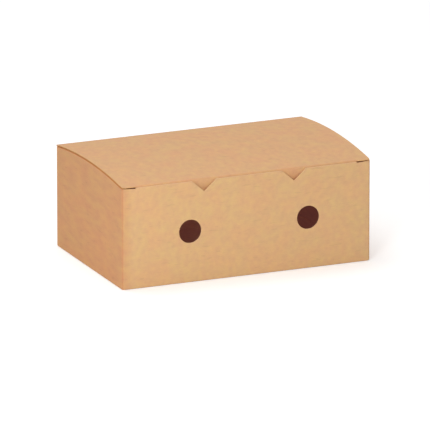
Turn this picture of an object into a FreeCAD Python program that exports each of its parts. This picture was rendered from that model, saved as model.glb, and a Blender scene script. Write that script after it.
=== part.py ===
import FreeCAD, Part
import math
import os

import Sketcher
from FreeCAD import Vector

# A carry-out food box folded from one die-cut sheet of kraft board.
# Frame: millimetres, +Z up, origin under the middle of the base, front wall towards -Y.
# The sheet is drawn as two bodies that meet at the lid's crease, because the lid swings there.

# Driving sizes, in millimetres
SIZES = {
    "width": 177.8,  # outside, over the two side walls
    "depth": 114.3,  # outside, front wall to back wall
    "crease_height": 69.85,  # base to the top of the lid at its front and back creases
    "board": 0.46,  # thickness of the sheet
    "lid_rise": 4.0,  # how far the lid arches above its creases
    "wall_fold": 1.1,  # inside radius of the upright folds
    "base_fold": 0.5,  # inside radius of the folds round the base
    "shoulder_fold": 0.25,  # inside radius where a side wall turns into its dust flap
    "lid_gap": 0.5,  # between the lid and what lies under it
    "lid_inset": 0.2,  # how far the lid's side edges stand in from the side walls
    "lid_corner": 2.0,  # rounding of the lid's two free corners, seen from above
    "crease_bead": 0.4,  # radius of the rounded bead that the lid turns on
    "crease_gap": 0.15,  # between that bead and the back wall
    "tuck_depth": 22.0,  # lid crease to the end of the tuck flap
    "tuck_fold": 0.9,  # inside radius of the fold into the tuck flap
    "tuck_gap": 0.15,  # left to the front wall as the tuck flap swings past it
    "tuck_corner": 12.0,  # rounding of the tuck flap's lower corners
    "slit_length": 9.75,  # cut in from each end of the tuck flap's fold
    "slit_relief": 0.5,  # nick in the front wall's top edge below the inner end of each slit
    "ear_drop": 3.0,  # lid crease to the top of the tuck flap's ears
    "ear_gap": 1.2,  # between an ear and the side wall
    "dust_length": 45.0,  # how far a dust flap reaches in from its side wall
    "dust_root": 4.5,  # first stretch of a dust flap, which keeps its full width
    "dust_ends": 2.4,  # from the front and back walls' outer faces to a dust flap
    "dust_taper": 11.0,  # how much each side of a dust flap narrows towards its end
    "vent_diameter": 15.9,
    "vent_spacing": 84.5,
    "vent_height": 35.0,
    "notch_width": 17.0,
    "notch_depth": 7.5,
    "notch_spacing": 64.4,
    "cut_offset": 1.7,  # vents and notches sit this far right of the front wall's middle
    "glue_width": 15.0,  # flap of the right side wall, glued inside the back wall
    "glue_taper": 4.0,
    "base_flap": 38.0,  # how far a side flap reaches over the base
    "base_lap": 14.0,  # overlap of the front and back flaps of the base
    "lap_length": 44.0,  # half the length of the stretch where they hook together
    "lap_ramp": 6.0,  # length over which a lapping flap comes down to the base
    "seam_width": 0.3,
    "seam_depth": 0.15,
}

# Places worked out from the driving sizes. Across the box they are Y, and Z is height.
HALF_WIDTH = "(sizes.width / 2)"
HALF_DEPTH = "(sizes.depth / 2)"
INNER_HALF_WIDTH = "(sizes.width / 2 - sizes.board)"
INNER_HALF_DEPTH = "(sizes.depth / 2 - sizes.board)"
# Middle of a side wall's thickness, where what is folded or glued to it takes root
MIDDLE_HALF_WIDTH = "(sizes.width / 2 - sizes.board / 2)"
ARCH_RADIUS = "(sizes.lid_rise / 2 + sizes.depth ^ 2 / (8 * sizes.lid_rise))"
ARCH_CENTRE = f"(sizes.crease_height + sizes.lid_rise - {ARCH_RADIUS})"
LID_UNDER_RADIUS = f"({ARCH_RADIUS} - sizes.board)"
SHOULDER_RADIUS = f"({LID_UNDER_RADIUS} - sizes.lid_gap)"
DUST_UNDER_RADIUS = f"({SHOULDER_RADIUS} - sizes.board)"
WALL_TOP = f"({ARCH_CENTRE} + sqrt({SHOULDER_RADIUS} ^ 2 - {HALF_DEPTH} ^ 2))"
CREASE_Y = f"({HALF_DEPTH} - sizes.crease_bead)"
CREASE_Z = f"({ARCH_CENTRE} + sqrt(({ARCH_RADIUS} - sizes.crease_bead) ^ 2 - {CREASE_Y} ^ 2))"
SLIT_ROOT = f"({HALF_WIDTH} - sizes.slit_length)"
# No point of the tuck flap lies further than this from the crease that it swings about
TUCK_SWING = f"({CREASE_Y} + {INNER_HALF_DEPTH} - sizes.tuck_gap)"
TUCK_Y = f"({CREASE_Y} - {TUCK_SWING})"
TIP_Z = "(sizes.crease_height - sizes.tuck_depth)"
TIP_Y = f"({CREASE_Y} - sqrt({TUCK_SWING} ^ 2 - ({CREASE_Z} - {TIP_Z}) ^ 2))"
TUCK_START = f"({TUCK_Y} + 2 * (sizes.tuck_fold + sizes.board))"


def make_sheet(doc):
    """Fills the sheet that every sketch and feature reads its sizes from."""
    sheet = doc.addObject("Spreadsheet::Sheet", "sizes")
    for row, (name, value) in enumerate(SIZES.items(), start=1):
        sheet.set(f"A{row}", name)
        sheet.set(f"B{row}", str(value))
        sheet.setAlias(f"B{row}", name)
    doc.recompute()
    return sheet


def number(holder, formula):
    """The present value of a formula of the sheet."""
    return float(holder.evalExpression(formula))


def tie(sketch, kind, places, formula):
    """Adds a constraint whose value follows a formula of the sheet."""
    index = sketch.addConstraint(Sketcher.Constraint(kind, *places, number(sketch, formula)))
    sketch.setExpression(f"Constraints[{index}]", formula)


def tie_point(sketch, edge, end, across, up):
    """Ties one end of an edge to the sketch's origin, each way that has a formula."""
    if across:
        tie(sketch, "DistanceX", (-1, 1, edge, end), across)
    if up:
        tie(sketch, "DistanceY", (-1, 1, edge, end), up)


def join(sketch, edge, end, other, other_end):
    """Makes two ends of edges meet."""
    sketch.addConstraint(Sketcher.Constraint("Coincident", edge, end, other, other_end))


def start_sketch(body, role, name, offset=None):
    """Starts a sketch on one of the body's own origin planes, or on a level above it."""
    sketch = body.newObject("Sketcher::SketchObject", name)
    plane = next(item for item in body.Origin.OriginFeatures if item.Role == role)
    sketch.AttachmentSupport = (plane, [""])
    sketch.MapMode = "FlatFace"
    if offset:
        sketch.setExpression("AttachmentOffset.Base.z", offset)
    return sketch


def draw_path(sketch, corners):
    """Draws joined straight edges; each corner is a pair of formulas. Gives the first edge."""
    spots = [Vector(number(sketch, across), number(sketch, up), 0) for across, up in corners]
    first = sketch.GeometryCount
    for start, end in zip(spots, spots[1:]):
        sketch.addGeometry(Part.LineSegment(start, end))
    last = len(corners) - 2
    for index in range(last):
        join(sketch, first + index, 2, first + index + 1, 1)
    for index, (across, up) in enumerate(corners[:-1]):
        tie_point(sketch, first + index, 1, across, up)
    if corners[-1] == corners[0]:
        join(sketch, first + last, 2, first, 1)
    else:
        tie_point(sketch, first + last, 2, *corners[-1])
    return first


def draw_polygon(sketch, corners):
    """Draws a closed outline of straight edges through corners given as formulas."""
    draw_path(sketch, [*corners, corners[0]])


def draw_quarter(sketch, centre, radius, quarter, start, finish):
    """Joins two ends of edges by a quarter circle; quarter 0 starts at the right, turning left."""
    across, up = centre
    middle = Vector(number(sketch, across), number(sketch, up), 0)
    circle = Part.Circle(middle, Vector(0, 0, 1), number(sketch, radius))
    angle = quarter * math.pi / 2
    arc = sketch.addGeometry(Part.ArcOfCircle(circle, angle, angle + math.pi / 2))
    join(sketch, arc, 1, *start)
    join(sketch, arc, 2, *finish)
    tie(sketch, "DistanceX", (-1, 1, arc, 3), across)


def draw_rounded_rectangle(sketch, half_across, half_up, radius):
    """Draws a rectangle about the origin with rounded corners."""
    short = f"({half_across} - {radius})"
    low = f"({half_up} - {radius})"
    sides = [
        [(f"-{short}", f"-{half_up}"), (short, f"-{half_up}")],
        [(half_across, f"-{low}"), (half_across, low)],
        [(short, half_up), (f"-{short}", half_up)],
        [(f"-{half_across}", low), (f"-{half_across}", f"-{low}")],
    ]
    edges = [draw_path(sketch, side) for side in sides]
    for index, (across, up) in enumerate([(1, -1), (1, 1), (-1, 1), (-1, -1)]):
        centre = (f"({across} * {short})", f"({up} * {low})")
        start = (edges[index], 2)
        finish = (edges[(index + 1) % 4], 1)
        draw_quarter(sketch, centre, radius, index - 1, start, finish)


def draw_circle(sketch, across, up, radius):
    """Draws a circle from formulas for its centre and radius."""
    centre = Vector(number(sketch, across), number(sketch, up), 0)
    circle = sketch.addGeometry(Part.Circle(centre, Vector(0, 0, 1), number(sketch, radius)))
    tie_point(sketch, circle, 3, across, up)
    tie(sketch, "Radius", (circle,), radius)


def draw_arch(sketch, radius, front, back):
    """Draws an arc about the arch's centre; it starts at the back and ends at the front."""
    centre = Vector(0, number(sketch, ARCH_CENTRE), 0)
    size = number(sketch, radius)
    angles = [math.acos(number(sketch, place) / size) for place in (back, front)]
    arc = sketch.addGeometry(Part.ArcOfCircle(Part.Circle(centre, Vector(0, 0, 1), size), *angles))
    sketch.addConstraint(Sketcher.Constraint("PointOnObject", arc, 3, -2))
    tie(sketch, "DistanceY", (-1, 1, arc, 3), ARCH_CENTRE)
    tie(sketch, "Radius", (arc,), radius)
    tie(sketch, "DistanceX", (-1, 1, arc, 1), back)
    return arc


def draw_band(sketch, top, bottom, front, back):
    """Draws the band between two arcs of the arch, cut upright at its front and back."""
    arcs = [draw_arch(sketch, radius, front, back) for radius in (top, bottom)]
    for arc in arcs:
        tie(sketch, "DistanceX", (-1, 1, arc, 2), front)
    ends = [[sketch.getPoint(arc, end) for arc in arcs] for end in (1, 2)]
    for end, (upper, lower) in enumerate(ends, start=1):
        line = sketch.addGeometry(Part.LineSegment(upper, lower))
        join(sketch, line, 1, arcs[0], end)
        join(sketch, line, 2, arcs[1], end)


def add_pad(body, sketch, name, length, side="Symmetric", reverse=False):
    """Pads a sketch by a formula's length."""
    feature = body.newObject("PartDesign::Pad", name)
    feature.Profile = sketch
    feature.SideType = side
    feature.Reversed = reverse
    feature.setExpression("Length", length)
    body.Document.recompute()
    return feature


def add_pocket(body, sketch, name, length, side="Symmetric", reverse=False):
    """Pockets a sketch by a formula's length, and stops if nothing was cut."""
    before = body.Shape.Volume
    feature = body.newObject("PartDesign::Pocket", name)
    feature.Profile = sketch
    feature.SideType = side
    feature.Reversed = reverse
    feature.setExpression("Length", length)
    body.Document.recompute()
    if not feature.Shape.Volume < before:
        raise RuntimeError(f"{name} cuts nothing")
    return feature


def add_fillet(body, name, radius, chosen):
    """Rounds the edges of the body for which chosen(edge) holds."""
    base = body.Tip
    edges = [f"Edge{i}" for i, edge in enumerate(base.Shape.Edges, start=1) if chosen(edge)]
    feature = body.newObject("PartDesign::Fillet", name)
    feature.Base = (base, edges)
    feature.setExpression("Radius", radius)
    body.Document.recompute()
    return feature


def is_level_at(edge, height):
    """True for an edge that lies wholly at one height."""
    box = edge.BoundBox
    return abs(box.ZMin - height) < 0.01 and abs(box.ZMax - height) < 0.01


def add_shell(body):
    """Base and four walls: a rounded block, hollowed to the thickness of the sheet."""
    block_top = "(sizes.crease_height + sizes.lid_rise)"
    outer = start_sketch(body, "XY_Plane", "outer_outline")
    draw_rounded_rectangle(outer, HALF_WIDTH, HALF_DEPTH, "(sizes.wall_fold + sizes.board)")
    add_pad(body, outer, "block", block_top, side="One side")
    add_fillet(body, "base_folds", "sizes.base_fold + sizes.board", lambda edge: is_level_at(edge, 0))

    inner = start_sketch(body, "XY_Plane", "inner_outline", "sizes.board")
    draw_rounded_rectangle(inner, INNER_HALF_WIDTH, INNER_HALF_DEPTH, "sizes.wall_fold")
    add_pocket(body, inner, "hollow", block_top, side="One side", reverse=True)
    board = number(inner, "sizes.board")
    add_fillet(body, "inner_base_folds", "sizes.base_fold", lambda edge: is_level_at(edge, board))


def trim_walls(body):
    """Arched tops of the side walls, and room for the lid's crease above the back wall."""
    above = start_sketch(body, "YZ_Plane", "above_shoulders")
    beyond = f"({SHOULDER_RADIUS} + 4 * sizes.lid_rise)"
    draw_band(above, beyond, SHOULDER_RADIUS, "-sizes.depth", "sizes.depth")
    add_pocket(body, above, "shoulder_curve", "2 * sizes.width")

    seat = start_sketch(body, "YZ_Plane", "crease_seat")
    near = f"({CREASE_Y} - sizes.crease_bead - sizes.crease_gap)"
    low = f"({CREASE_Z} - sizes.crease_bead - sizes.crease_gap)"
    high = "(sizes.crease_height + sizes.lid_rise)"
    draw_polygon(seat, [(near, low), ("sizes.depth", low), ("sizes.depth", high), (near, high)])
    add_pocket(body, seat, "crease_room", "2 * sizes.width")


def cut_front(body):
    """Vents in the front wall, and notches and nicks in its top edge."""
    vents = start_sketch(body, "XZ_Plane", "vents")
    for side in (-1, 1):
        across = f"(sizes.cut_offset + {side} * sizes.vent_spacing / 2)"
        draw_circle(vents, across, "sizes.vent_height", "sizes.vent_diameter / 2")
    add_pocket(body, vents, "vent_holes", "sizes.depth", side="One side", reverse=True)

    notches = start_sketch(body, "XZ_Plane", "notches")
    for side in (-1, 1):
        middle = f"(sizes.cut_offset + {side} * sizes.notch_spacing / 2)"
        high = f"({WALL_TOP} + sizes.notch_depth)"
        corners = [
            (f"({middle} - sizes.notch_width)", high),
            (middle, f"({WALL_TOP} - sizes.notch_depth)"),
            (f"({middle} + sizes.notch_width)", high),
        ]
        draw_polygon(notches, corners)
    add_pocket(body, notches, "pointed_notches", "sizes.depth", side="One side", reverse=True)

    nicks = start_sketch(body, "XZ_Plane", "slit_nicks")
    high = f"({WALL_TOP} + sizes.lid_rise)"
    for side in (-1, 1):
        root = f"({side} * {SLIT_ROOT})"
        end = f"({side} * ({INNER_HALF_WIDTH} - sizes.wall_fold))"
        low = f"({WALL_TOP} - sizes.slit_relief)"
        draw_polygon(nicks, [(root, low), (end, WALL_TOP), (end, high), (root, high)])
    add_pocket(body, nicks, "slit_reliefs", "sizes.depth", side="One side", reverse=True)


def add_dust_flaps(body):
    """Two flaps of the side walls, folded in along the arch under the lid."""
    end = f"({HALF_DEPTH} - sizes.dust_ends)"
    flaps = start_sketch(body, "YZ_Plane", "dust_flap_section")
    draw_band(flaps, SHOULDER_RADIUS, DUST_UNDER_RADIUS, f"-{end}", end)
    add_pad(body, flaps, "dust_flaps", f"2 * {MIDDLE_HALF_WIDTH}")

    mouth = start_sketch(body, "XY_Plane", "mouth_between_flaps", TIP_Z)
    wide = f"({INNER_HALF_WIDTH} - sizes.dust_root)"
    narrow = f"({INNER_HALF_WIDTH} - sizes.dust_length)"
    step = f"({end} - sizes.dust_taper)"
    quarter = [(narrow, step), (wide, end)]
    corners = []
    for across, up in ((-1, -1), (1, -1), (1, 1), (-1, 1)):
        turn = quarter if across * up > 0 else quarter[::-1]
        corners += [(f"{across} * {x}", f"{up} * {y}") for x, y in turn]
    draw_polygon(mouth, corners)
    add_pocket(body, mouth, "mouth", "sizes.tuck_depth + 2 * sizes.lid_rise", "One side", True)


def round_shoulders(body):
    """Rounds the two arched folds by a cut turned about the arch's own axis."""
    section = start_sketch(body, "XZ_Plane", "shoulder_section")
    top = f"({ARCH_CENTRE} + {SHOULDER_RADIUS})"
    radius = "(sizes.shoulder_fold + sizes.board)"
    for side in (-1, 1):
        wall = f"({side} * {HALF_WIDTH})"
        inside = f"({side} * ({HALF_WIDTH} - {radius}))"
        beyond = f"({side} * ({HALF_WIDTH} + {radius}))"
        first = draw_path(section, [
            (inside, top),
            (inside, f"({top} + {radius})"),
            (beyond, f"({top} + {radius})"),
            (beyond, f"({top} - {radius})"),
            (wall, f"({top} - {radius})"),
        ])
        centre = (inside, f"({top} - {radius})")
        if side > 0:
            draw_quarter(section, centre, radius, 0, (first + 3, 2), (first, 1))
        else:
            draw_quarter(section, centre, radius, 1, (first, 1), (first + 3, 2))
    level = number(section, ARCH_CENTRE)
    axis_line = Part.LineSegment(Vector(-1, level, 0), Vector(1, level, 0))
    axis = section.addGeometry(axis_line, True)
    tie_point(section, axis, 1, "-1", ARCH_CENTRE)
    tie_point(section, axis, 2, "1", ARCH_CENTRE)

    before = body.Shape.Volume
    groove = body.newObject("PartDesign::Groove", "shoulder_folds")
    groove.Profile = section
    groove.ReferenceAxis = (section, ["Axis0"])
    groove.Midplane = True
    groove.setExpression("Angle", f"2 * asin(({HALF_DEPTH} - sizes.dust_ends) / {SHOULDER_RADIUS})")
    body.Document.recompute()
    if not groove.Shape.Volume < before:
        raise RuntimeError("the shoulder folds cut nothing")


def add_base_flaps(body):
    """Inner layer of the folded base: two glued side flaps and the hooked middle lap."""
    plan = start_sketch(body, "XY_Plane", "base_side_flaps", "sizes.board / 2")
    for side in (-1, 1):
        edge = f"({side} * {MIDDLE_HALF_WIDTH})"
        reach = f"({side} * ({INNER_HALF_WIDTH} - sizes.base_flap))"
        corners = [
            (edge, f"-{side} * ({INNER_HALF_DEPTH} - sizes.base_fold)"),
            (reach, f"-{side} * ({INNER_HALF_DEPTH} - sizes.base_flap)"),
            (reach, f"{side} * ({INNER_HALF_DEPTH} - sizes.base_lap / 2)"),
            (edge, f"{side} * ({INNER_HALF_DEPTH} - sizes.base_fold)"),
        ]
        draw_polygon(plan, corners)
    add_pad(body, plan, "glued_side_flaps", "1.5 * sizes.board", side="One side")

    for side, name in ((-1, "left"), (1, "right")):
        lap = start_sketch(body, "YZ_Plane", f"{name}_lap_section")
        lip = f"({side} * sizes.base_lap / 2)"
        fall = f"(-{side} * sizes.base_lap / 2)"
        foot = f"(-{side} * (sizes.base_lap / 2 + sizes.lap_ramp))"
        level = "(sizes.board / 2)"
        top = "(2 * sizes.board)"
        draw_polygon(lap, [(lip, level), (lip, top), (fall, top), (foot, "sizes.board"), (foot, level)])
        add_pad(body, lap, f"{name}_lap", "sizes.lap_length", side="One side", reverse=side < 0)


def cut_base_seam(body):
    """Hooked seam on the underside, where the front and back flaps of the base meet."""
    seam = start_sketch(body, "XY_Plane", "base_seam")
    path = [("-sizes.width", 1), ("-sizes.base_lap / 4", 1), ("sizes.base_lap / 4", -1), ("sizes.width", -1)]
    near = [(across, f"({side} * sizes.base_lap / 2 - sizes.seam_width / 2)") for across, side in path]
    far = [(across, f"({side} * sizes.base_lap / 2 + sizes.seam_width / 2)") for across, side in path]
    draw_polygon(seam, near + far[::-1])
    add_pocket(body, seam, "seam_groove", "sizes.seam_depth", side="One side", reverse=True)


def add_glue_flap(body):
    """Flap of the right side wall, glued flat against the inside of the back wall."""
    flap = start_sketch(body, "XZ_Plane", "glue_flap_outline", f"-({INNER_HALF_DEPTH} - sizes.board)")
    low = "(2 * sizes.board + sizes.base_fold)"
    high = "(sizes.crease_height - sizes.glue_taper)"
    end = f"({INNER_HALF_WIDTH} - sizes.glue_width)"
    corners = [
        (MIDDLE_HALF_WIDTH, low),
        (MIDDLE_HALF_WIDTH, high),
        (end, f"({high} - sizes.glue_taper)"),
        (end, f"({low} + sizes.glue_taper)"),
    ]
    draw_polygon(flap, corners)
    add_pad(body, flap, "glue_flap", "1.5 * sizes.board", side="One side", reverse=True)


def make_box_body(doc):
    """Base, walls, dust flaps and glued flaps: all of the sheet but the lid."""
    body = doc.addObject("PartDesign::Body", "box_body")
    body.Label = "box_body"
    add_shell(body)
    trim_walls(body)
    cut_front(body)
    add_dust_flaps(body)
    round_shoulders(body)
    add_base_flaps(body)
    cut_base_seam(body)
    add_glue_flap(body)
    return body


def draw_tuck_section(sketch):
    """Section of the tuck flap, with a short stretch of the lid that it hangs from."""
    outer = draw_arch(sketch, ARCH_RADIUS, TUCK_Y, TUCK_START)
    inner = draw_arch(sketch, LID_UNDER_RADIUS, TUCK_Y, TUCK_START)
    tie(sketch, "DistanceX", (-1, 1, outer, 2), TUCK_Y)
    tip = Vector(number(sketch, TIP_Y), number(sketch, TIP_Z), 0)
    crest = sketch.getPoint(outer, 2)
    along = tip.sub(crest).normalize()
    board = number(sketch, "sizes.board")
    inward = Vector(-along.y, along.x, 0) * board
    start = sketch.addGeometry(Part.LineSegment(sketch.getPoint(outer, 1), sketch.getPoint(inner, 1)))
    face = sketch.addGeometry(Part.LineSegment(crest, tip))
    end = sketch.addGeometry(Part.LineSegment(tip, tip.add(inward)))
    back = sketch.addGeometry(Part.LineSegment(tip.add(inward), sketch.getPoint(inner, 2)))
    join(sketch, start, 1, outer, 1)
    join(sketch, start, 2, inner, 1)
    join(sketch, face, 1, outer, 2)
    join(sketch, end, 1, face, 2)
    join(sketch, back, 1, end, 2)
    join(sketch, back, 2, inner, 2)
    tie_point(sketch, face, 2, TIP_Y, TIP_Z)
    sketch.addConstraint(Sketcher.Constraint("Parallel", face, back))
    sketch.addConstraint(Sketcher.Constraint("Perpendicular", face, end))
    tie(sketch, "Distance", (end, 1, end, 2), "sizes.board")


def add_tuck_flap(body):
    """Tuck flap: it leans back so that it swings clear of the front wall."""
    section = start_sketch(body, "YZ_Plane", "tuck_section")
    draw_tuck_section(section)
    add_pad(body, section, "tuck_flap", f"2 * ({INNER_HALF_WIDTH} - sizes.ear_gap)")
    crest = number(section, f"({ARCH_CENTRE} + sqrt({ARCH_RADIUS} ^ 2 - {TUCK_Y} ^ 2))")
    board = number(section, "sizes.board")
    fold_y = number(section, TUCK_Y)

    def is_fold(edge, inside):
        box = edge.BoundBox
        near = fold_y - board / 2 + inside * board
        low = crest - board / 2 - inside * board
        return box.XLength > 1 and near < box.YMin < near + board and low < box.ZMin < low + board

    add_fillet(body, "tuck_fold", "sizes.tuck_fold + sizes.board", lambda edge: is_fold(edge, 0))
    add_fillet(body, "tuck_fold_inside", "sizes.tuck_fold", lambda edge: is_fold(edge, 1))

    slits = start_sketch(body, "XZ_Plane", "slits")
    low = "(sizes.crease_height - sizes.ear_drop)"
    high = "(sizes.crease_height + sizes.lid_rise)"
    for side in (-1, 1):
        near = f"({side} * {SLIT_ROOT})"
        far = f"({side} * sizes.width)"
        draw_polygon(slits, [(near, low), (far, low), (far, high), (near, high)])
    add_pocket(body, slits, "corner_slits", "2 * sizes.depth")
    tip_z = number(section, TIP_Z)
    add_fillet(
        body,
        "tuck_corners",
        "sizes.tuck_corner",
        lambda edge: edge.Length < 2 * board and abs(edge.BoundBox.ZMin - tip_z) < board
        and edge.BoundBox.XLength < 0.01,
    )


def add_lid_panel(body):
    """Arched top of the lid, its crease bead, and the free corners beside the tuck flap."""
    length = f"2 * ({HALF_WIDTH} - sizes.lid_inset)"
    panel = start_sketch(body, "YZ_Plane", "panel_section")
    draw_band(panel, ARCH_RADIUS, LID_UNDER_RADIUS, TUCK_START, CREASE_Y)
    add_pad(body, panel, "arched_panel", length)

    bead = start_sketch(body, "YZ_Plane", "bead_section")
    draw_circle(bead, CREASE_Y, CREASE_Z, "sizes.crease_bead")
    add_pad(body, bead, "crease_bead", length)

    for side, name in ((-1, "left"), (1, "right")):
        root = f"{side} * {SLIT_ROOT}"
        corner = start_sketch(body, "YZ_Plane", f"{name}_corner_section", root)
        draw_band(corner, ARCH_RADIUS, LID_UNDER_RADIUS, f"-{HALF_DEPTH}", TUCK_START)
        reach = "sizes.slit_length - sizes.lid_inset"
        add_pad(body, corner, f"{name}_free_corner", reach, side="One side", reverse=side < 0)

    outer = number(panel, f"{HALF_WIDTH} - sizes.lid_inset")
    front = number(panel, f"-{HALF_DEPTH}")
    add_fillet(
        body,
        "lid_corners",
        "sizes.lid_corner",
        lambda edge: edge.BoundBox.XLength < 0.01 and edge.BoundBox.YLength < 0.01
        and abs(abs(edge.BoundBox.XMax) - outer) < 0.01 and abs(edge.BoundBox.YMax - front) < 0.01,
    )


def make_hinged_lid(doc):
    """Lid and tuck flap: the part of the sheet beyond the crease at the back."""
    body = doc.addObject("PartDesign::Body", "hinged_lid")
    body.Label = "hinged_lid"
    add_tuck_flap(body)
    add_lid_panel(body)
    return body


def check_and_write(doc, bodies):
    """Stops on any failed object or shape, then writes one file for each body."""
    for item in doc.Objects:
        if {"Invalid", "Error"} & set(item.State):
            raise RuntimeError(f"{item.Name} failed: {item.State}")
    for body in bodies:
        if body.Shape.isNull() or not body.Shape.isValid() or len(body.Shape.Solids) != 1:
            raise RuntimeError(f"{body.Label} isn't one valid solid")
    os.makedirs("parts", exist_ok=True)
    for body in bodies:
        body.Shape.exportStep(f"parts/{body.Label}.step")
        box = body.Shape.BoundBox
        print(body.Label, "volume", round(body.Shape.Volume, 1), "box", box)


def main():
    doc = FreeCAD.newDocument("carry_out_box")
    make_sheet(doc)
    bodies = [make_box_body(doc), make_hinged_lid(doc)]
    doc.recompute()
    check_and_write(doc, bodies)


main()
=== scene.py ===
import math

import bpy
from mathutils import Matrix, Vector


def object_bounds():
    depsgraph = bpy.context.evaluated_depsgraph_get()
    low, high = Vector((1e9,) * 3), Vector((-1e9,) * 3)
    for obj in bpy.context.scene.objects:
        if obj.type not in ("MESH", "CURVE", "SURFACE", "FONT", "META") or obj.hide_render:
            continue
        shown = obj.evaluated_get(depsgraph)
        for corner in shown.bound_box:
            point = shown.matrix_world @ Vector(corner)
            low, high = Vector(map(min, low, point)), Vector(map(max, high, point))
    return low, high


# A carry-out box of plain kraft board, closed, on a white studio floor.
# Colours are linear. Sizes in the board's finish are millimetres of the box's own frame.

# Camera, fitted to the photograph by the box's corners and then its whole outline
AZIMUTH = -23.1  # degrees; the camera stands left of the front wall's normal
ELEVATION = 16.2
FOCAL_PIXELS = 10000.0  # lens length in pixels of the 430 pixel frame: nearly parallel rays
FRAME_PIXELS = 430.0
BOX_PIXELS = 267.8  # length that the box's width would have if it faced the camera
AIM_HEIGHT = 0.035  # metres; of the point on the box's upright axis that lies at AIM_PIXEL
AIM_PIXEL = (212.88, 202.38)
SENSOR = 36.0

# Lamps: direction from the box, distance and width in metres, power in watts
KEY = {"towards": (-0.56, -0.82, 0.33), "distance": 0.8, "size": 0.22, "power": 2.3}
TOP = {"towards": (-0.15, 0.30, 1.00), "distance": 1.2, "size": 0.8, "power": 4.2}
SKY_STRENGTH = 0.57
FLOOR_SIZE = 6.0
FLOOR_LEVEL = -0.0001  # just below the base, so that their faces never share a plane
FLOOR_COLOUR = (0.86, 0.86, 0.86, 1)
FLOOR_LIFT = 0.35  # of white, added where the floor is seen

# Board: its colour, what tints it, including painted light and shade, and the painted glow that
# stands in for light soaking through it
BOARD_COLOUR = (0.70, 0.43, 0.215, 1)
PINK_FIBRES = (1.03, 0.96, 0.99, 1)
YELLOW_FIBRES = (0.975, 1.03, 0.93, 1)
SIDE_SHADE_TINT = (0.93, 0.79, 0.75, 1)  # painted shade: darker and oranger on faces that face sideways, on the front wall beside its upright fold, and on the lid's front fold and tuck flap
# painted light: faces that face up take this tint, fitted with the lamps to how the top renders
TOP_LIGHT_TINT = (1.02, 0.97, 1.01, 1)
RUBBED_AND_SHADE_TINT = (0.70, 0.52, 0.42, 1)  # painted shade under the lid's rim over the side walls, on the upright folds and low on the tuck flap; also the darker pressed strip along the lid's hinge
CUT_SHARE = 0.8  # of the cut colour, on a cut edge
PAINTED_INSIDE_GLOW = (0.029, 0.0142, 0.0140, 1)  # painted glow: the inside faces emit a dim warm light
PAINTED_GAP_GLOW = (0.10, 0.04, 0.008, 1)  # painted glow, warm, in the narrow gaps under the lid's rim

# Mottling: widths of its features, the part of each random field over which its tint grows,
# and how much it darkens or lightens the board
CLOUD = 15.0
BLOTCH = 4.0
GRAIN = 0.35
FLECK = 1.1
CLOUD_RISE = (0.3, 0.7)
BLOTCH_RISE = (0.35, 0.7)
FLECK_RISE = (0.66, 0.74)
BLOTCH_SHADE = (0.86, 1.12)
GRAIN_SHADE = (0.94, 1.06)
FLECK_SHADE = (1.0, 0.93)
ROUGHNESS = (0.72, 0.9)
GLOSS = 0.3
GRAIN_RELIEF = 0.03
BLOTCH_RELIEF = 0.06
BUMP = {"Strength": 0.6, "Distance": 0.001}
FIBRE_STRETCH = 7.0  # along the box's width

# Each node's own cut edges, and how far its features stretch along the box's depth. On the
# side walls that is along the sheet's width, as its fibres are.
BODY_FINISH = {"cut": (0.86, 0.59, 0.36, 1), "mottle_stretch": 3.0, "fibre_stretch": 7.0}
# the lid's golden brown cut edges are painted shade, darker than the body's paler cut edges of the
# same board
LID_FINISH = {"cut": (0.66, 0.36, 0.12, 1), "mottle_stretch": 1.5, "fibre_stretch": 1.5}

# Where the sheet's regions lie, on the closed box
BOARD = 0.46  # thickness
SKIN = 0.2  # depth in the board at which its outside ends
CORE = 0.35  # depth at which its inside has begun
EAVES = 68.5  # above it are only the lid, the folded flaps and their creases
BASE_TOP = 1.5  # of the flaps that make the base
SLIT = 79.15  # from the middle to the slits at the ends of the lid's front fold
FLAP_TIP = 48.9  # lower end of the tuck flap
FOOT = 4.0  # height at which the front wall's fold to the base has ended
CORNER = 2.0  # width that an upright fold takes from its walls
UNDER_RIM_WIDTH = 0.8  # width of the strip over a side wall, under the lid's rim, that gets painted shade and painted glow
GAP_REACH = 4.0  # depth of the painted warm glow behind the lid's front fold
HINGE_WIDTH = 2.6  # of the rubbed strip along the lid's hinge
NOTCH_REACH = 6.5  # below the eaves, down to where the notches show the tuck flap
FOLD_SHADE_WIDTH = 8.4  # of the painted side shade that shows on the front wall beside its fold
FOLD_SHARE = 0.6  # of a tint, where the skin is only bent
PAINTED_SHADE_SHARE = 0.4  # of the painted shade's tint, on the upright folds and low on the tuck flap

# Which way a face is turned, by a part of its normal: 0 is edge on and 1 is face on
EDGE_ON = (0.35, 0.25)
BENT = (0.25, 0.5)
FACE_ON = (0.4, 0.8)
FACE_UP = (0.5, 0.9)


def camera_directions():
    """Directions to the right, upwards and backwards from the camera."""
    azimuth = math.radians(AZIMUTH)
    elevation = math.radians(ELEVATION)
    back = Vector((
        math.sin(azimuth) * math.cos(elevation),
        -math.cos(azimuth) * math.cos(elevation),
        math.sin(elevation),
    ))
    right = Vector((0, 0, 1)).cross(back).normalized()
    return right, back.cross(right), back


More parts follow.
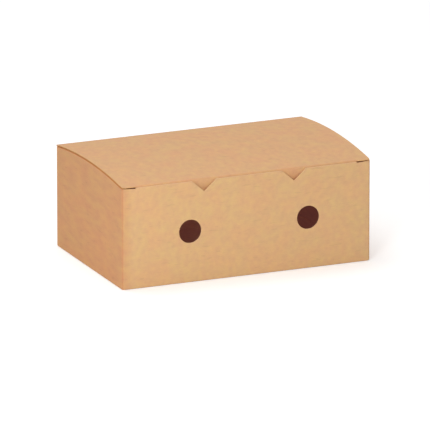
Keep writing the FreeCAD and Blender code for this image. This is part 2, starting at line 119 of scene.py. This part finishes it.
def make_camera(width):
    """Camera at the photograph's viewing angle, aimed so that the box lies where it does there."""
    right, up, back = camera_directions()
    metres_per_pixel = width / BOX_PIXELS
    aside = (FRAME_PIXELS / 2 - AIM_PIXEL[0]) * metres_per_pixel
    below = (FRAME_PIXELS / 2 - AIM_PIXEL[1]) * metres_per_pixel
    distance = FOCAL_PIXELS * metres_per_pixel
    data = bpy.data.cameras.new("camera")
    data.sensor_width = SENSOR
    data.lens = FOCAL_PIXELS * SENSOR / FRAME_PIXELS
    data.clip_start = distance / 10
    data.clip_end = distance * 10
    camera = bpy.data.objects.new("camera", data)
    camera.location = Vector((0, 0, AIM_HEIGHT)) + right * aside - up * below + back * distance
    camera.rotation_mode = "QUATERNION"
    camera.rotation_quaternion = (-back).to_track_quat("-Z", "Y")
    bpy.context.scene.collection.objects.link(camera)
    bpy.context.scene.camera = camera


def make_lamp(name, settings):
    """One soft lamp that faces the box."""
    data = bpy.data.lights.new(name, "AREA")
    data.shape = "DISK"
    data.size = settings["size"]
    data.energy = settings["power"]
    lamp = bpy.data.objects.new(name, data)
    towards = Vector(settings["towards"]).normalized()
    lamp.location = Vector((0, 0, AIM_HEIGHT)) + towards * settings["distance"]
    lamp.rotation_mode = "QUATERNION"
    lamp.rotation_quaternion = (-towards).to_track_quat("-Z", "Y")
    bpy.context.scene.collection.objects.link(lamp)


class Graph:
    """A node tree, with short calls that add nodes and give their outputs."""

    def __init__(self, owner):
        owner.use_nodes = True
        self.nodes = owner.node_tree.nodes
        self.links = owner.node_tree.links

    def put(self, value, socket):
        """Links an output to a socket, or writes a constant there."""
        if isinstance(value, bpy.types.NodeSocket):
            self.links.new(value, socket)
        else:
            socket.default_value = value

    def add(self, kind, output, inputs=(), **settings):
        """Adds a node with the given settings and inputs, and gives one of its outputs."""
        node = self.nodes.new(kind)
        for name, value in settings.items():
            setattr(node, name, value)
        for name, value in dict(inputs).items():
            self.put(value, node.inputs[name])
        return node.outputs[output]

    def calc(self, operation, first, second=0.0):
        """The result of one sum."""
        return self.add("ShaderNodeMath", 0, {0: first, 1: second}, operation=operation)

    def step(self, value, low, high):
        """0 below low, 1 above high and smooth between them; low may be the larger one."""
        inputs = {"Value": value, "From Min": low, "From Max": high}
        return self.add("ShaderNodeMapRange", "Result", inputs, interpolation_type="SMOOTHSTEP")

    def span(self, value, ends):
        """A field of 0 to 1, spread between two ends."""
        inputs = {"Value": value, "To Min": ends[0], "To Max": ends[1]}
        return self.add("ShaderNodeMapRange", "Result", inputs)

    def both(self, *masks):
        """Where all the masks hold."""
        total = masks[0]
        for mask in masks[1:]:
            total = self.calc("MULTIPLY", total, mask)
        return total

    def either(self, *masks):
        """Where one of the masks holds."""
        total = masks[0]
        for mask in masks[1:]:
            total = self.calc("MAXIMUM", total, mask)
        return total

    def noise(self, place, size, detail=3.0):
        """Random field about 0.5, with features of the given size."""
        inputs = {"Vector": place, "Scale": 1 / size, "Detail": detail, "Roughness": 0.55}
        return self.add("ShaderNodeTexNoise", "Fac", inputs)

    def scaled(self, place, scale):
        """A place with each of its components scaled."""
        return self.add("ShaderNodeMapping", 0, {"Vector": place, "Scale": scale})

    def tint(self, colour, factor, other, blend="MULTIPLY"):
        """Blends a colour with another one, by a mask."""
        node = self.nodes.new("ShaderNodeMix")
        node.data_type = "RGBA"
        node.blend_type = blend
        for name, value in (("Factor_Float", factor), ("A_Color", colour), ("B_Color", other)):
            self.put(value, next(item for item in node.inputs if item.identifier == name))
        return next(item for item in node.outputs if item.identifier == "Result_Color")

    def parts(self, vector):
        """The three components of a vector."""
        node = self.nodes.new("ShaderNodeSeparateXYZ")
        self.links.new(vector, node.inputs[0])
        return node.outputs[:]


def seen_rays(graph):
    """1 for what the camera sees, straight or in gloss, and 0 for all other light."""
    kinds = ("Is Camera Ray", "Is Glossy Ray", "Is Transmission Ray")
    path = graph.nodes.new("ShaderNodeLightPath")
    return graph.either(*[path.outputs[kind] for kind in kinds])


def make_sky():
    """Even soft light from all round, seen as white."""
    world = bpy.data.worlds.new("studio")
    bpy.context.scene.world = world
    graph = Graph(world)
    background = graph.nodes["Background"]
    background.inputs["Color"].default_value = (1, 1, 1, 1)
    graph.put(graph.span(seen_rays(graph), (SKY_STRENGTH, 1.0)), background.inputs["Strength"])


def make_floor():
    """Plain pale floor that keeps the box's soft shadow and is white elsewhere."""
    half = FLOOR_SIZE / 2
    mesh = bpy.data.meshes.new("floor")
    outline = [(-half, -half), (half, -half), (half, half), (-half, half)]
    mesh.from_pydata([(x, y, FLOOR_LEVEL) for x, y in outline], [], [(0, 1, 2, 3)])
    floor = bpy.data.objects.new("floor", mesh)
    bpy.context.scene.collection.objects.link(floor)
    material = bpy.data.materials.new("floor")
    graph = Graph(material)
    shader = graph.nodes["Principled BSDF"]
    shader.inputs["Base Color"].default_value = FLOOR_COLOUR
    shader.inputs["Roughness"].default_value = 0.9
    shader.inputs["Specular IOR Level"].default_value = 0.0
    shader.inputs["Emission Color"].default_value = (1, 1, 1, 1)
    lift = graph.calc("MULTIPLY", seen_rays(graph), FLOOR_LIFT)
    graph.put(lift, shader.inputs["Emission Strength"])
    mesh.materials.append(material)


def body_masks(graph, place, facing, half):
    """The body's cut edges, its faces with the painted side shade, the painted shade under the
    lid's rim and on the upright folds, the inside, and the gaps under the lid's rim; the inside
    and those gaps get a painted glow.

    place is in millimetres, facing is the normal, and half.x and half.y are half the box's
    width and depth.
    """
    x, y, z = place
    across, along, level = [graph.calc("ABSOLUTE", part) for part in facing]
    aside = graph.calc("ABSOLUTE", x)
    deep = graph.calc("ABSOLUTE", y)
    wall = half.y - BOARD
    free = graph.step(aside, half.x - CORNER, half.x - CORNER - 0.5)
    above = graph.step(z, EAVES - 0.3, EAVES)
    within = graph.both(
        graph.step(aside, half.x - SKIN, half.x - CORE),
        graph.step(deep, half.y - SKIN, half.y - CORE),
    )

    front_edge = graph.both(
        graph.step(y, 0.1 - wall, -wall),
        graph.step(along, *EDGE_ON),
        graph.step(z, FOOT, FOOT + 1),
        free,
    )
    flap_edge = graph.both(
        graph.step(deep, wall - 0.1, wall - 0.5),
        graph.step(level, *EDGE_ON),
        graph.either(above, graph.step(z, BASE_TOP + 0.1, BASE_TOP - 0.1)),
        free,
    )
    beside_fold = graph.step(x, FOLD_SHADE_WIDTH - half.x, 1 - half.x)
    # painted shade: faces that face sideways, and the front wall beside its upright fold, take the
    # side tint
    side = graph.either(
        graph.step(across, *FACE_ON),
        graph.both(beside_fold, graph.step(along, 0.3, 0.6), FOLD_SHARE),
    )
    # painted shade and painted glow: a strip along the top of each side wall, under the lid's rim
    painted_under_rim = graph.both(
        graph.step(aside, half.x - UNDER_RIM_WIDTH, half.x - UNDER_RIM_WIDTH + 0.15),
        graph.step(level, 0.05, 0.35),
        above,
    )
    # painted shade on the upright folds, which dulls their highlight
    upright_fold_shade = graph.both(graph.step(across, *BENT), graph.step(along, *BENT), PAINTED_SHADE_SHARE)
    inside = graph.both(
        graph.step(z, BOARD - 0.06, BOARD - 0.02),
        graph.step(z, EAVES + 0.5, EAVES),
        within,
    )
    # painted glow behind the slits, under the lid's free corners
    behind_slit = graph.both(
        graph.step(y, GAP_REACH - half.y, GAP_REACH - 2.5 - half.y),
        graph.step(aside, SLIT - 0.6, SLIT),
        above,
        within,
    )
    return {
        "cut": graph.either(front_edge, flap_edge),
        "side": side,
        "crease": graph.either(painted_under_rim, upright_fold_shade),
        "inside": inside,
        "gap": graph.either(painted_under_rim, behind_slit),
    }


def lid_masks(graph, place, facing, half):
    """The same of the lid: its front skin gets the painted side shade, its underside counts as
    inside and gets the painted glow, and its cut edges get a golden brown that is painted shade.
    """
    x, y, z = place
    aside = graph.calc("ABSOLUTE", x)
    level = graph.calc("ABSOLUTE", facing[2])
    # the lid's cut edges near its free corners and along its sides, which take the golden brown
    # painted shade
    rim = graph.both(
        graph.step(level, 0.45, 0.35),
        graph.step(z, EAVES - 0.3, EAVES),
        graph.step(aside, SLIT - 0.05, SLIT + 0.05),
        graph.step(y, half.y - 1, half.y - 1.2),
    )
    tip = graph.both(
        graph.step(facing[2], -0.6, -0.7),
        graph.step(z, FLAP_TIP + 0.1, FLAP_TIP - 0.1),
    )
    hinge = graph.both(graph.step(y, half.y - HINGE_WIDTH, half.y - HINGE_WIDTH + 2), FOLD_SHARE)
    # painted shade, darker towards the bottom of the tuck flap where the notches show it
    low_flap_shade = graph.both(
        graph.step(facing[1], -0.3, -0.7),
        graph.step(z, EAVES, EAVES - NOTCH_REACH),
        PAINTED_SHADE_SHARE,
    )
    under = graph.either(graph.step(facing[2], -0.3, -0.5), graph.step(facing[1], 0.4, 0.6))
    return {
        "cut": graph.either(rim, tip),
        # painted shade on the lid's front fold and tuck flap
        "side": graph.both(graph.step(facing[1], -0.15, -0.7), FOLD_SHARE),
        "crease": graph.either(hinge, low_flap_shade),
        "inside": under,
        # painted glow on the lid's underside near its front fold
        "gap": graph.both(under, graph.step(y, GAP_REACH - half.y, GAP_REACH - 2.5 - half.y)),
    }


def make_board(name, make_masks, half, finish):
    """Unprinted kraft board: clouded and fibrous, with cut edges of its own, a darker strip along
    the lid's hinge, painted shade on its sides, folds and under the lid's rim, and a painted glow
    inside and in the gaps.
    """
    material = bpy.data.materials.new(name)
    graph = Graph(material)
    spot = graph.nodes.new("ShaderNodeTexCoord")
    place = graph.scaled(spot.outputs["Object"], (1000, 1000, 1000))
    facing = graph.parts(spot.outputs["Normal"])
    masks = make_masks(graph, graph.parts(place), facing, half)

    mottled = graph.scaled(place, (1, 1 / finish["mottle_stretch"], 1))
    fibres = graph.scaled(place, (1 / FIBRE_STRETCH, 1 / finish["fibre_stretch"], 1))
    cloud = graph.noise(mottled, CLOUD, 2.0)
    blotch = graph.noise(mottled, BLOTCH)
    grain = graph.noise(fibres, GRAIN, 2.0)
    flecks = graph.step(graph.noise(fibres, FLECK, 1.0), *FLECK_RISE)

    colour = graph.tint(BOARD_COLOUR, graph.step(cloud, *CLOUD_RISE), PINK_FIBRES)
    colour = graph.tint(colour, graph.step(blotch, *BLOTCH_RISE), YELLOW_FIBRES)
    # painted light: the top's tint on faces that face up
    colour = graph.tint(colour, graph.step(facing[2], *FACE_UP), TOP_LIGHT_TINT)
    # painted shade: the darker side tint
    colour = graph.tint(colour, masks["side"], SIDE_SHADE_TINT)
    # painted shade under the lid's rim, on the folds and low on the tuck flap, and the darker
    # strip along the lid's hinge
    colour = graph.tint(colour, masks["crease"], RUBBED_AND_SHADE_TINT)
    shade = graph.both(
        graph.span(blotch, BLOTCH_SHADE),
        graph.span(grain, GRAIN_SHADE),
        graph.span(flecks, FLECK_SHADE),
    )
    shades = graph.add("ShaderNodeCombineColor", 0, {0: shade, 1: shade, 2: shade})
    colour = graph.tint(colour, 1.0, shades)
    # cut edges: pale on the body; on the lid a golden brown that is painted shade
    colour = graph.tint(colour, graph.both(masks["cut"], CUT_SHARE), finish["cut"], "MIX")

    shader = graph.nodes["Principled BSDF"]
    graph.put(colour, shader.inputs["Base Color"])
    graph.put(graph.span(grain, ROUGHNESS), shader.inputs["Roughness"])
    shader.inputs["Specular IOR Level"].default_value = GLOSS
    # painted glow: the inside and the gaps under the lid's rim emit warm light
    glow = graph.tint(PAINTED_INSIDE_GLOW, masks["gap"], PAINTED_GAP_GLOW, "MIX")
    graph.put(glow, shader.inputs["Emission Color"])
    graph.put(graph.either(masks["inside"], masks["gap"]), shader.inputs["Emission Strength"])
    height = graph.calc("ADD", graph.both(grain, GRAIN_RELIEF), graph.both(blotch, BLOTCH_RELIEF))
    bump = graph.add("ShaderNodeBump", 0, {"Height": height, **BUMP})
    graph.put(bump, shader.inputs["Normal"])
    return material


def dress(node, material):
    """Gives a CAD node its finish."""
    node.data.materials.clear()
    node.data.materials.append(material)


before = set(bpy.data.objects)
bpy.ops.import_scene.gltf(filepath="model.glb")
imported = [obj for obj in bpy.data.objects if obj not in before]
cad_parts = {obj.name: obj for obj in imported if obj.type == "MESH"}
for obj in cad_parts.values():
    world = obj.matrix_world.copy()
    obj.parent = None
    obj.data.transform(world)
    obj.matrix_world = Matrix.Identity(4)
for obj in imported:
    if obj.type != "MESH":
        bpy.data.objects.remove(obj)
cad_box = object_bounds()
half_box = cad_box[1] * 1000
make_camera(cad_box[1].x - cad_box[0].x)
make_lamp("key_light", KEY)
make_lamp("top_light", TOP)
make_sky()
make_floor()
body_board = make_board("kraft_board_body", body_masks, half_box, BODY_FINISH)
lid_board = make_board("kraft_board_lid", lid_masks, half_box, LID_FINISH)
dress(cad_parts["box_body"], body_board)
dress(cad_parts["hinged_lid"], lid_board)
bpy.context.scene.view_settings.view_transform = "Standard"
